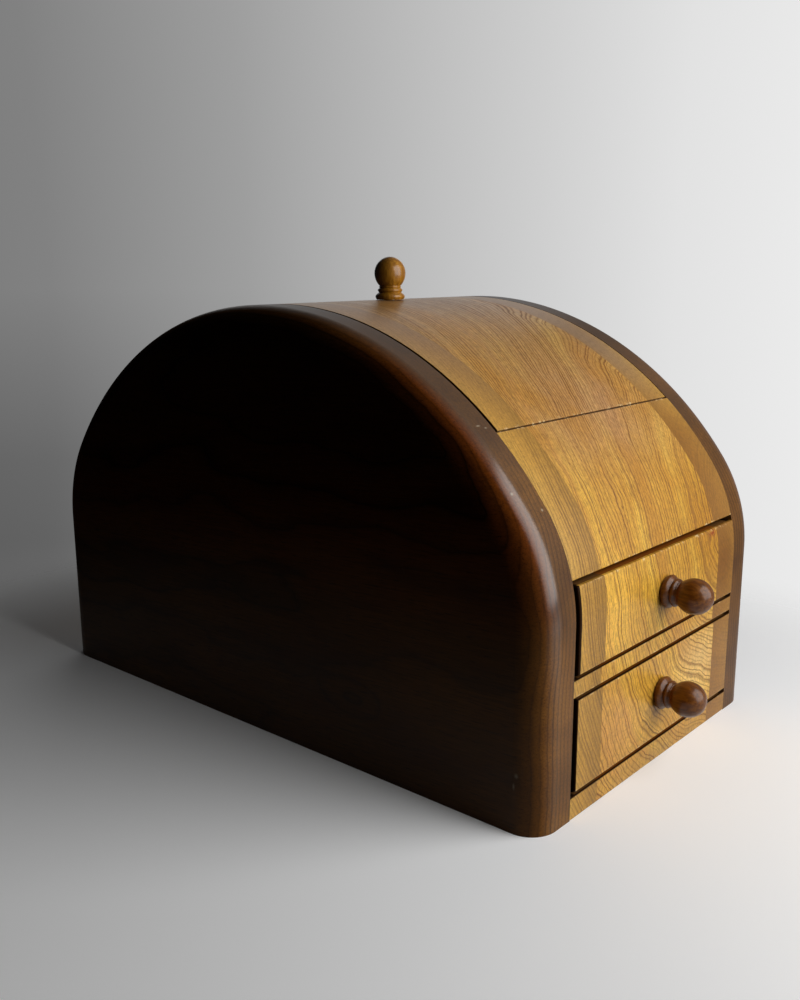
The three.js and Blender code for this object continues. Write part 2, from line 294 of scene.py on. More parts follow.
# Painted shade in the gaps: the level cuts, each by its height and half its width, then the drawers' left
# arris, the lid's left edge, the seam round the lid and the drawers' sides.
CUT_LINES = ((9.35, 0.55), (56.05, 0.5), (48.2, 0.8))
CUT_SOFT = 0.15
DARK_ARRIS = -63.5
DARK_ARRIS_HEIGHTS = ((9.4, 47.8), (56.1, 91.3))
LID_DARK_SIDE = (-65.0, -65.2)
LID_DARK_DEPTH = (4.5, 2.5)
SEAM_SHADE_LINE = (0.62, 0.3)
DRAWER_SIDE_SHADE = (62.4, 63.4)

half_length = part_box("body_core")[1].y
box_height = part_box("right_side_panel")[1].z
rise = box_height - STRAIGHT_WALL
crown_radius = half_length ** 2 - 2 * half_length * SHOULDER_RADIUS + rise ** 2
crown_radius /= 2 * (rise - SHOULDER_RADIUS)
crown_centre = box_height - crown_radius
shoulder_centre = half_length - SHOULDER_RADIUS
shoulder_angle = math.atan2(STRAIGHT_WALL - crown_centre, shoulder_centre)
lid_angle = math.asin(LID_SEAM_FROM_MIDDLE / crown_radius)
lower_ceiling = BASE_TOP + LOWER_OPENING
upper_floor = lower_ceiling + DIVIDER
upper_ceiling = upper_floor + UPPER_OPENING
well_floor = upper_ceiling + WELL_FLOOR


def arc(across, up, radius, start, end):
    """Corners (y, z, ease) along an arc, about one curve step apart, with both its ends."""
    steps = max(4, round(abs(end - start) * radius / CURVE_STEP))
    angles = [start + (end - start) * i / steps for i in range(steps + 1)]
    return [(across + radius * math.cos(a), up + radius * math.sin(a), 0) for a in angles]


def with_ease(corners, place, ease):
    """The same corners, with an ease at one of them."""
    corners = list(corners)
    corners[place] = (*corners[place][:2], ease)
    return corners


def arch_half(height, inset=0):
    """How far the arch reaches from the middle at a height."""
    over = height - STRAIGHT_WALL
    shoulder, crown = SHOULDER_RADIUS - inset, crown_radius - inset
    if over <= 0:
        return half_length - inset
    if over <= shoulder * math.sin(shoulder_angle):
        return shoulder_centre + math.sqrt(shoulder ** 2 - over ** 2)
    return math.sqrt(crown ** 2 - (height - crown_centre) ** 2)


def arch_side(side, from_height, last_angle):
    """The outside of the arch on one side (1 back, -1 front), from a height up to an angle of the crown."""
    first = math.asin(max(0, from_height - STRAIGHT_WALL) / SHOULDER_RADIUS)
    shoulder = arc(shoulder_centre, STRAIGHT_WALL, SHOULDER_RADIUS, first, shoulder_angle)
    crown = arc(0, crown_centre, crown_radius, shoulder_angle, last_angle)
    return [(side * y, z, ease) for y, z, ease in shoulder + crown[1:]]


def slot(front, bottom, top):
    """A drawer's opening, from the mouth's top in to the back and out at the bottom."""
    back, corner = half_length - BACK_WALL - OPENING_CORNER, OPENING_CORNER
    return [
        (front, top, SANDED_EDGE),
        *arc(back, top - corner, corner, math.pi / 2, 0),
        *arc(back, bottom + corner, corner, 0, -math.pi / 2),
        (front, bottom, SANDED_EDGE),
    ]


def carcass_outline():
    """The block from the side, with the well and both openings sawn out of it, as one closed line."""
    seam = math.pi / 2 - lid_angle
    rim = well_floor + WELL_CORNER
    rim_half = arch_half(rim, WALL_UNDER_ARCH)
    rim_angle = math.atan2(rim - crown_centre, rim_half)
    back = arch_side(1, 0, seam)
    front = arch_side(-1, upper_ceiling, seam)[::-1]
    inside = with_ease(arc(0, crown_centre, crown_radius - WALL_UNDER_ARCH, seam, rim_angle), 0, SANDED_EDGE)
    inside = inside[:-1] + arc(rim_half - WELL_CORNER, rim, WELL_CORNER, 0, -math.pi / 2)
    return [
        (-half_length, 0, SANDED_EDGE),
        (half_length, 0, SANDED_EDGE),
        *with_ease(back, -1, SEAM_EDGE),
        *inside,
        *[(-y, z, ease) for y, z, ease in reversed(inside)],
        *with_ease(front, 0, SEAM_EDGE)[:-1],
        *slot(-arch_half(upper_ceiling), upper_floor, upper_ceiling)[:-1],
        (-half_length, upper_floor, SANDED_EDGE),
        *slot(-half_length, BASE_TOP, lower_ceiling),
    ]


def eased(corners):
    """Rounds the corners that have an ease. Each point comes as (place, way in, worn)."""
    points = []
    for i, (y, z, ease) in enumerate(corners):
        here = Vector((y, z))
        if not ease:
            points.append((here, 0))
            continue
        back = Vector(corners[i - 1][:2]) - here
        on = Vector(corners[(i + 1) % len(corners)][:2]) - here
        before, after = back.normalized(), on.normalized()
        half = before.angle(after) / 2
        turn = math.pi - 2 * half
        tangent = ease / math.tan(half)
        centre = here + (before + after).normalized() * ease / math.sin(half)
        start = here + before * tangent - centre
        end = here + after * tangent - centre
        if back.length > tangent + 3 * WEAR_REACH:
            points.append((here + before * (tangent + WEAR_REACH), 0))
        for step in range(EASE_STEPS + 1):
            share = step / EASE_STEPS
            out = start * math.sin((1 - share) * turn) + end * math.sin(share * turn)
            points.append((centre + out / math.sin(turn), 1))
        if on.length > tangent + 3 * WEAR_REACH:
            points.append((here + after * (tangent + WEAR_REACH), 0))
    doubled = sum(a.x * b.y - b.x * a.y for (a, _), (b, _) in zip(points, points[1:] + points[:1]))
    left = 1 if doubled > 0 else -1
    result = []
    for i, (here, worn) in enumerate(points):
        back = (here - points[i - 1][0]).normalized()
        on = (points[(i + 1) % len(points)][0] - here).normalized()
        way = Vector((-back.y - on.y, back.x + on.x)) * left
        result.append((here, way / (1 + back.dot(on)), worn))
    return result


def tree_with(name, **inputs):
    """An empty Geometry Nodes tree with a geometry in and out, and the sockets of its named inputs."""
    tree = bpy.data.node_groups.new(name, "GeometryNodeTree")
    for label, kind in {"Geometry": "Geometry", **inputs}.items():
        tree.interface.new_socket(label, in_out="INPUT", socket_type="NodeSocket" + kind)
    tree.interface.new_socket("Geometry", in_out="OUTPUT", socket_type="NodeSocketGeometry")
    return tree, add(tree, "GroupInput", out=None).outputs


def finish_tree(tree, geometry, finish):
    """Shades the curves smooth and the edges sharp, and ends the tree in one plain mesh."""
    merged = add(tree, "MergeByDistance", {"Geometry": geometry, "Distance": MERGE_WITHIN})
    smooth = add(tree, "SetShadeSmooth", (merged,))
    sharp = add(tree, "Compare.GREATER_THAN", (add(tree, "InputMeshEdgeAngle"), SMOOTH_ANGLE))
    edged = add(tree, "SetShadeSmooth", (smooth, sharp, False), domain="EDGE")
    real = add(tree, "RealizeInstances", (edged,))
    done = add(tree, "SetMaterial", {"Geometry": real, "Material": finish})
    add(tree, "GroupOutput", (done,), out=None)
    return tree


def wrapped_grid(tree, columns, rows):
    """A grid with one column more, to close on itself, and each point's column and row."""
    closed = add(tree, "Math.ADD", (columns, 1))
    grid = add(tree, "MeshGrid", {"Vertices X": closed, "Vertices Y": rows})
    index = add(tree, "InputIndex")
    column = add(tree, "Math.FLOOR", (add(tree, "Math.DIVIDE", (index, rows)),))
    return grid, column, add(tree, "Math.MODULO", (index, rows))


def board_tree():
    """A board: the outline carried from one face to the other, each face's edge rounded by its ease."""
    tree, given = tree_with("sawn_board", From="Float", To="Float", From_ease="Float", To_ease="Float",
                            Steps="Int", Finish="Material")
    outline = given["Geometry"]
    corners = add(tree, "AttributeDomainSize", (outline,))
    half_rings = add(tree, "Math.ADD", (given["Steps"], 1))
    rings = add(tree, "Math.MULTIPLY", (half_rings, 2))
    grid, column, ring = wrapped_grid(tree, corners, rings)
    corner = add(tree, "Math.MODULO", (column, corners))
    far = add(tree, "Math.GREATER_THAN", (add(tree, "Math.ADD", (ring, 0.5)), half_rings))
    last = add(tree, "Math.SUBTRACT", (rings, 1))
    step = add(tree, "Math.MINIMUM", (ring, add(tree, "Math.SUBTRACT", (last, ring))))
    angle = add(tree, "Math.MULTIPLY", (add(tree, "Math.DIVIDE", (step, given["Steps"])), math.pi / 2))
    ease = add(tree, "Switch", (far, given["From_ease"], given["To_ease"]), input_type="FLOAT")
    setback, inset = (
        add(tree, "Math.MULTIPLY", (ease, add(tree, "Math.SUBTRACT", (1, add(tree, wave, (angle,))))))
        for wave in ("Math.COSINE", "Math.SINE"))
    near_x = add(tree, "Math.ADD", (given["From"], setback))
    far_x = add(tree, "Math.SUBTRACT", (given["To"], setback))
    x = add(tree, "Switch", (far, near_x, far_x), input_type="FLOAT")
    inward = add(tree, "InputNamedAttribute", {"Name": "inward"}, data_type="FLOAT_VECTOR")
    worn = add(tree, "InputNamedAttribute", {"Name": "worn"}, data_type="FLOAT")
    there, inward_there, worn_there = (
        add(tree, "SampleIndex", {"Geometry": outline, "Value": value, "Index": corner}, data_type=kind)
        for value, kind in (
            (add(tree, "InputPosition"), "FLOAT_VECTOR"), (inward, "FLOAT_VECTOR"), (worn, "FLOAT")))
    by = add(tree, "CombineXYZ", (inset, inset, inset))
    moved = add(tree, "VectorMath.MULTIPLY_ADD", (inward_there, by, there))
    place = add(tree, "VectorMath.ADD", (moved, add(tree, "CombineXYZ", (x,))))
    edge = add(tree, "SetPosition", {"Geometry": grid, "Position": place})
    edge = add(tree, "StoreNamedAttribute", {"Geometry": edge, "Name": "worn", "Value": worn_there},
               data_type="FLOAT")
    joined = add(tree, "JoinGeometry", (edge,), out=None)
    for at, name in (("From", "From_ease"), ("To", "To_ease")):
        shift = add(tree, "VectorMath.SCALE", {0: inward, "Scale": given[name]})
        shift = add(tree, "VectorMath.ADD", (shift, add(tree, "CombineXYZ", (given[at],))))
        face = add(tree, "SetPosition", {"Geometry": outline, "Offset": shift})
        tree.links.new(face, joined.inputs[0])
    return finish_tree(tree, joined.outputs[0], given["Finish"])


def grown(made, tree, **inputs):
    """Runs a tree on an object with these inputs, keeps the result as a plain mesh, faces outwards."""
    modifier = made.modifiers.new("tree", "NODES")
    modifier.node_group = tree
    for item in tree.interface.items_tree:
        if item.name in inputs:
            modifier[item.identifier] = inputs[item.name]
    bpy.context.view_layer.update()
    evaluated = made.evaluated_get(bpy.context.evaluated_depsgraph_get())
    plain = bpy.data.meshes.new_from_object(evaluated)
    made.modifiers.clear()
    made.data = plain
    outwards(plain)
    made.modifiers.new("flat faces stay flat", "WEIGHTED_NORMAL").keep_sharp = True


def outwards(mesh):
    """Turns the faces of a closed mesh outwards."""
    work = bmesh.new()
    work.from_mesh(mesh)
    bmesh.ops.recalc_face_normals(work, faces=work.faces)
    work.to_mesh(mesh)
    work.free()


def dressed(piece, node):
    """The piece stands for its node and rides on the node's body."""
    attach(piece, frame["nodes"][node]["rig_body"])
    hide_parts(node)


def board(node, outline, finish, slot_name, from_ease=0, to_ease=0, steps=EASE_STEPS, level_foot=False):
    """A board as wide as its node, sawn to the outline. A level foot isn't rounded along the table."""
    low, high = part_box(node)
    points = eased(outline)
    if level_foot:
        points = [(here, Vector((way.x, way.y if here.y else 0)), worn) for here, way, worn in points]
    made = mesh_object(node + "_board", [(0, *here) for here, _, _ in points], [list(range(len(points)))])
    made.data.attributes.new("inward", "FLOAT_VECTOR", "POINT")
    made.data.attributes.new("worn", "FLOAT", "POINT")
    for i, (_, way, worn) in enumerate(points):
        made.data.attributes["inward"].data[i].vector = (0, *way)
        made.data.attributes["worn"].data[i].value = worn
    grown(made, sawn_board, From=low.x, To=high.x, From_ease=from_ease, To_ease=to_ease, Steps=steps,
          Finish=finish)
    dressed(made, node)


def board_place(tree):
    """Where a point lies on its piece, in millimetres."""
    metres = add(tree, "TexCoord", out="Object")
    return add(tree, "VectorMath.SCALE", {0: metres, "Scale": 1 / MM})


def cloud(tree, place, size, detail=2, seed=(0, 0, 0)):
    """Soft noise around 0.5 whose patches have this size in mm along x, y and z."""
    scaled = add(tree, "VectorMath.MULTIPLY_ADD", (place, [1 / length for length in size], seed))
    return add(tree, "TexNoise", {"Vector": scaled, "Scale": 1, "Detail": detail})


def stained(tree, wood, *stains):
    """The wood with stains laid over it one by one, each given as (share, colour)."""
    for share, colour in stains:
        wood = add(tree, "Mix", {0: share, 6: wood, 7: colour}, data_type="RGBA")
    return wood


def mottled(tree, wood, pattern, low, high):
    """The wood made darker and lighter by a cloud, and by how much."""
    factor = add(tree, "MapRange", (pattern, *CLOUD_RANGE, low, high))
    return add(tree, "VectorMath.SCALE", {0: wood, "Scale": factor}), factor


def away_from(tree, place, middle, stretch):
    """How far a point lies from a middle, where x, y and z are stretched."""
    off = add(tree, "VectorMath.SUBTRACT", (place, middle))
    off = add(tree, "VectorMath.MULTIPLY", (off, stretch))
    return add(tree, "VectorMath.LENGTH", (off,))


def spot(tree, place, middle, size, share=1):
    """A soft spot: its share in the middle and 0 from the size on, in mm."""
    away = away_from(tree, place, middle, [1 / length for length in size])
    return add(tree, "MapRange", (away, 1, 0, 0, share), interpolation_type="SMOOTHSTEP")


def spots(tree, place, table):
    """The share and colour of soft spots, which the table gives as (middle, size, share, colour)."""
    return [(spot(tree, place, middle, size, share), tone) for middle, size, share, tone in table]


def swayed(tree, place, distance, sways, drift):
    """A distance that sways in soft patches, each given as (patch size, reach) in mm."""
    for i, (size, reach) in enumerate(sways):
        swing = cloud(tree, place, size, 1, [i * step for step in drift])
        distance = add(tree, "Math.MULTIPLY_ADD", (swing, reach, distance))
    return distance


def ring_lines(tree, rings, stops, faint, bold):
    """The line of each growth ring, which follows the stops from ring to ring, some faint and some bold."""
    through = add(tree, "Math.FRACT", (rings,))
    number = add(tree, "Math.FLOOR", (rings,))
    tone = add(tree, "TexWhiteNoise", {"W": number}, noise_dimensions="1D")
    strength = add(tree, "MapRange", (tone, 0, 1, faint, bold))
    return add(tree, "Math.MULTIPLY", (add(tree, "ValToRGB", (through,), stops), strength))


def growth_rings(tree, place, width, sways, stops, faint, bold, bumps=()):
    """The lines of growth rings round the pith, which runs along y, and the distance from the pith.

    A bump is (middle, size, reach), in mm.
    """
    distance = away_from(tree, place, PITH, (1, 0, 1))
    distance = swayed(tree, place, distance, sways, (3.1, 7.7, 1.3))
    for middle, size, reach in bumps:
        distance = add(tree, "Math.ADD", (distance, spot(tree, place, middle, size, reach)))
    rings = add(tree, "Math.DIVIDE", (distance, width))
    uneven = add(tree, "TexNoise", {"W": rings, "Scale": RING_CHANGES, "Detail": 1}, noise_dimensions="1D")
    rings = add(tree, "Math.MULTIPLY_ADD", (uneven, RING_UNEVEN, rings))
    return ring_lines(tree, rings, stops, faint, bold), distance


def sawn_inside(tree, place):
    """1 on the faces of the drawer cuts just behind the front, and 0 on the front and deep inside. The sawn
    colour laid there is partly rough sawn wood and partly painted shade in the gaps.
    """
    beyond = add(tree, "VectorMath.MULTIPLY", (place, (0, -1, 1)))
    beyond = add(tree, "VectorMath.SUBTRACT", (beyond, (0, shoulder_centre / MM, STRAIGHT_WALL / MM)))
    beyond = add(tree, "VectorMath.MAXIMUM", (beyond, (0, 0, 0)))
    reach = add(tree, "VectorMath.LENGTH", (beyond,))
    depth = add(tree, "Math.SUBTRACT", (SHOULDER_RADIUS / MM, reach))
    height = add(tree, "SeparateXYZ", (place,), out="Z")
    inside = add(tree, "MapRange", (depth, *SAWN_EDGE))
    shallow = add(tree, "MapRange", (depth, SAWN_DEEP, SAWN_DEEP / 2))
    under_well = add(tree, "Math.LESS_THAN", (height, well_floor / MM - 1))
    inside = add(tree, "Math.MULTIPLY", (inside, shallow))
    return add(tree, "Math.MULTIPLY", (inside, under_well))


def past_seam(tree, place):
    """How far a point lies past the cut round the lid, as an angle from the middle of the crown."""
    _, y, z = add(tree, "SeparateXYZ", (place,), out=None).outputs
    aside = add(tree, "Math.ABSOLUTE", (y,))
    up = add(tree, "Math.SUBTRACT", (z, crown_centre / MM))
    return add(tree, "Math.SUBTRACT", (add(tree, "Math.ARCTAN2", (aside, up)), lid_angle))


def painted_gap_shade(tree, place):
    """Painted shade in the gaps: 1 along the level cuts and down the left arris of the drawers, close to the
    front, and along the upper edge of the lid's left side. 0 elsewhere."""
    x, y, z = add(tree, "SeparateXYZ", (place,), out=None).outputs
    dark = 0
    for level, reach in CUT_LINES:
        off = add(tree, "Math.ABSOLUTE", (add(tree, "Math.SUBTRACT", (z, level)),))
        line = add(tree, "MapRange", (off, reach + CUT_SOFT, reach - CUT_SOFT))
        dark = add(tree, "Math.MAXIMUM", (dark, line))
    arris = add(tree, "MapRange", (x, DARK_ARRIS + CUT_SOFT, DARK_ARRIS - CUT_SOFT))
    for low, high in DARK_ARRIS_HEIGHTS:
        beside = add(tree, "Math.COMPARE", (z, (low + high) / 2, (high - low) / 2))
        beside = add(tree, "Math.MULTIPLY", (beside, arris))
        dark = add(tree, "Math.MAXIMUM", (dark, beside))
    end = SAWN_DEEP - half_length / MM
    near_front = add(tree, "MapRange", (y, end, end - SAWN_END))
    dark = add(tree, "Math.MULTIPLY", (dark, near_front))
    from_centre = away_from(tree, place, (0, 0, crown_centre / MM), (0, 1, 1))
    depth = add(tree, "Math.SUBTRACT", (crown_radius / MM, from_centre))
    lid_edge = add(tree, "Math.MULTIPLY", (
        add(tree, "MapRange", (x, *LID_DARK_SIDE)), add(tree, "MapRange", (depth, *LID_DARK_DEPTH))))
    on_lid = add(tree, "Math.LESS_THAN", (past_seam(tree, place), 0))
    return add(tree, "Math.MAXIMUM", (dark, add(tree, "Math.MULTIPLY", (lid_edge, on_lid))))


def worn_and_gap_shaded(tree, place, wood, bare, sawn):
    """The wood with its eased edges rubbed bare here and there, its saw cuts darker, partly as rough sawn
    wood and partly as painted shade, and painted shade along its gaps.

    Gives the colour, and 1 where the sawn colour and the painted shade lie.
    """
    worn = add(tree, "Attribute", attribute_name="worn", out="Fac")
    rubbed = add(tree, "MapRange", (cloud(tree, place, (2.2, 2.2, 2.2), 3, (1, 2, 3)), 0.56, 0.68, 0, 0.7))
    rubbed = add(tree, "Math.MULTIPLY", (rubbed, worn))
    # Painted shade: a dark line along the seam round the lid, where its gap is.
    off = add(tree, "Math.ABSOLUTE", (past_seam(tree, place),))
    seam = add(tree, "MapRange", (off, *(width * MM / crown_radius for width in SEAM_SHADE_LINE)))
    # Painted shade: the sawn faces turn near-black towards the gaps beside the drawers.
    aside = add(tree, "Math.ABSOLUTE", (add(tree, "SeparateXYZ", (place,), out="X"),))
    cut = stained(tree, sawn, (add(tree, "MapRange", (aside, *DRAWER_SIDE_SHADE)), "#160c05"))
    # Painted shade along the level cuts, the drawers' left arris and the lid's left edge.
    lines, inside = painted_gap_shade(tree, place), sawn_inside(tree, place)
    colour = stained(tree, wood, (seam, "#4a2c10"), (rubbed, bare), (lines, "#241204"), (inside, cut))
    return colour, add(tree, "Math.MAXIMUM", (lines, inside))


def surface(tree, relief, strength, depth, sockets, sunken=True):
    """Ends a material in one shader with a fine relief, which is sunken or raised by a depth in mm."""
    bump = add(tree, "Bump", {"Height": relief, "Strength": strength, "Distance": depth * MM}, invert=sunken)
    shader = add(tree, "BsdfPrincipled", {**sockets, "Normal": bump})
    add(tree, "OutputMaterial", {"Surface": shader}, out=None)


def golden_board():
    """Ring-porous hardwood, sanded and varnished satin.

    Each ring starts with a thin brown line of open pores and runs out golden. Broad bands of rings are
    yellower or browner. The pores lie along the board, as dots on the front and dashes on the top, and
    the rings are finer on the lid. Real pores are about 0.2 mm wide, and are drawn 0.4 mm to show.
    """
    material, tree = new_material("golden_ring_porous_board")
    place = board_place(tree)
    line, distance = growth_rings(
        tree, place, GOLDEN_RING, [((34, 90, 34), 9), ((11, 40, 11), 3.2), ((3.5, 18, 3.5), 0.9)],
        [(0, 1.0), (0.12, 0.9), (0.24, 0.3), (0.42, 0.05), (0.72, 0.02), (0.90, 0.35), (1, 1.0)], 0.3, 1,
        [((44, -150, 30), (34, 60, 26), 4), ((20, -150, 10), (26, 60, 18), -3),
         ((45, -150, 89), (7, 20, 6), 3)])
    fine_line, _ = growth_rings(
        tree, place, LID_RING, [((34, 90, 34), 9), ((11, 40, 11), 2.2), ((3.5, 18, 3.5), 0.5)],
        [(0, 1.0), (0.15, 0.8), (0.35, 0.2), (0.7, 0.05), (1, 1.0)], 0.3, 1)
    height = add(tree, "SeparateXYZ", (place,), out="Z")
    line = add(tree, "MapRange", (height, *LID_RINGS_FROM, line, fine_line))
    band = cloud(tree, add(tree, "CombineXYZ", (distance,)), (13, 1, 1), 2, (4.2, 0, 0))
    ground = add(tree, "ValToRGB", (band,), [
        (0.32, "#b47e2c"), (0.44, "#c69236"), (0.55, "#d4a23a"), (0.68, "#e4b548")])
    warmth = add(tree, "MapRange", (cloud(tree, place, (24, 90, 20), 3, (9, 2, 5)), 0.45, 0.7, 0, 0.6))
    open_pores = add(tree, "MapRange", (cloud(tree, place, (0.4, 5, 0.9), 1), 0.54, 0.66))
    near_line = add(tree, "MapRange", (line, 0, 1, 0.3, 0.95))
    pore = add(tree, "Math.MULTIPLY", (open_pores, near_line))
    wood = stained(tree, ground, *spots(tree, place, GOLDEN_TONES), (warmth, "#b88028"),
                   (line, "#6a3a06"), (pore, "#6c3e0c"))
    wood, _ = mottled(tree, wood, cloud(tree, place, (0.6, 4, 2.2), 3, (5, 5, 5)), 0.74, 1.26)
    specks = add(tree, "MapRange", (cloud(tree, place, (0.9, 0.9, 0.9)), 0.3, 0.5))
    specks = add(tree, "Math.MULTIPLY", (specks, spot(tree, place, *KNOT)))
    colour, sawn_and_shaded = worn_and_gap_shaded(tree, place, stained(tree, wood, (specks, "#843006")), "#ecd09a", "#7e4616")
    relief = add(tree, "Math.ADD", (line, pore))
    surface(tree, relief, 0.25, 0.05, {
        "Base Color": colour,
        "Roughness": add(tree, "MapRange", (relief, 0, 1, 0.34, 0.5)),
        "Specular IOR Level": add(tree, "MapRange", (sawn_and_shaded, 0, 1, 0.32, 0.03))})
    return material


sawn_board = board_tree()
golden = golden_board()
board("body_core", carcass_outline(), golden, "golden_board")

# The block: brown strips
# A strip of plainer brown wood was glued along each side of the core before the block was sawn, so it
# shows beside the core on the front, the top and the lid. It is darker by the core than by the panel.
BROWN_RING = 1.8
BROWN_FROM_MIDDLE = (50, 73)
# Soft tones of the brown strips: middle, size, share and colour. The two on the lid are painted shade and
# sheen, which make the lid's strips darker and greyer.
BROWN_TONES = (
    ((57, -150, 75), (16, 60, 24), 0.6, "#6c3c02"),
    ((0, 0, 185), (280, 225, 70), 1, "#947254"),
    ((57, -80, 172), (16, 90, 40), 0.6, "#86705c"),
)
# How much darker and plainer the right strip and the lid are, and the heights where the lid turns so. On the
# lid the right strip is left undarkened, partly as painted sheen.
RIGHT_DARKER = 0.68
RIGHT_PLAINER = 0.45
LID_PLAINER = 0.4
LID_TURNS_PLAINER = (120, 145)
LID_TURNS_LIGHTER = (160, 130)


def brown_strip():
    """Brown hardwood under the same satin varnish.

    It grew round the same way as the core, so its soft lines lean alike, but its pores hardly show. The
    right strip is darker and plainer, and both turn plainer on the lid, and greyer there with painted shade
    and sheen.
    """
    material, tree = new_material("brown_hardwood_strip")
    place = board_place(tree)
    x, _, z = add(tree, "SeparateXYZ", (place,), out=None).outputs
    line, _ = growth_rings(
        tree, place, BROWN_RING, [((30, 120, 40), 5), ((9, 40, 12), 1.6), ((2.5, 12, 3), 0.5)],
        [(0, 0.9), (0.2, 0.6), (0.5, 0.1), (0.8, 0.2), (1, 0.9)], 0.25, 0.95)
    right = add(tree, "Math.GREATER_THAN", (x, 0))
    plainer = add(tree, "Math.MULTIPLY", (
        add(tree, "MapRange", (right, 0, 1, 1, RIGHT_PLAINER)),
        add(tree, "MapRange", (z, *LID_TURNS_PLAINER, 1, LID_PLAINER))))
    line = add(tree, "Math.MULTIPLY", (line, plainer))
    aside = add(tree, "Math.MULTIPLY_ADD", (
        cloud(tree, place, (20, 60, 20), 2, (3, 3, 3)), 9, add(tree, "Math.ABSOLUTE", (x,))))
    ground = add(tree, "ValToRGB", (add(tree, "MapRange", (aside, *BROWN_FROM_MIDDLE)),), [
        (0, "#a27628"), (0.3, "#ae8030"), (0.6, "#c08f38"), (1, "#c89a40")])
    under_lid = add(tree, "MapRange", (z, *LID_TURNS_LIGHTER, 0, RIGHT_DARKER))
    darker = add(tree, "Math.MULTIPLY", (right, under_lid))
    pore = add(tree, "MapRange", (cloud(tree, place, (0.4, 4, 0.4), 1), 0.55, 0.72, 0, 0.5))
    wood = stained(tree, ground, (darker, "#7b4a10"), *spots(tree, place, BROWN_TONES),
                   (line, "#5c380a"), (pore, "#63411a"))
    wood, _ = mottled(tree, wood, cloud(tree, place, (0.5, 2.2, 1.6), 3, (5, 5, 5)), 0.8, 1.2)
    colour, sawn_and_shaded = worn_and_gap_shaded(tree, place, wood, "#d8b27c", "#644322")
    surface(tree, add(tree, "Math.ADD", (line, pore)), 0.25, 0.04, {
        "Base Color": colour, "Roughness": 0.4,
        "Specular IOR Level": add(tree, "MapRange", (sawn_and_shaded, 0, 1, 0.34, 0.03))})
    return material


brown = brown_strip()
for side in ("left", "right"):
    board(f"body_{side}_strip", carcass_outline(), brown, "brown_strip")

# The side panels
# A thick panel of dark stained walnut is glued over each end of the saw cuts. It repeats the arch, its
# grain lies along the box, and its outer edge is routed and sanded to a big round all the way but the foot.
PANEL_ROUND = 11.5 * MM
PANEL_ROUND_STEPS = 16
WALNUT_RING = 2.4
WALNUT_LEAN = math.radians(3)
WALNUT_HEIGHT = 200
WALNUT_EYE = ((0, -60, 31), (math.inf, 26, 13), 4.5)
# From the middle of the box out: over the round to the flat face, and heights up the panel. The round's warm
# tint is painted light, and the face's darkening is painted shade.
ROUND_PAINTED_LIGHT = (77.5, 82)
ROUND_RUBBED_IN = (75.5, 78.5)
ROUND_RUBBED_OUT = (83.5, 80.5)
ROUND_TO_HAZE = (77, 83)
LINES_TO_FACE = (79, 86)
FACE_PAINTED_SHADE = (81.5, 86)
FACE_SHADE_GROWS_UP = (60, 140)
LINES_FADE_UP = (90, 140)
HAZE_FADES_UP = (30, 110)
WALNUT_NICKS = (
    ((-73.6, -110.2, 146.6), (1.8, 0.5, 0.6)), ((-70.4, -111.3, 145.6), (1.1, 0.5, 0.5)),
    ((-69.5, -136.1, 118.4), (0.9, 0.6, 1.2)), ((-80, -130.2, 125.1), (0.9, 0.9, 0.9)),
    ((-87.8, -140, 23.4), (2, 1.2, 1.4)), ((-87.9, -139, 19), (2, 0.7, 2)),
)


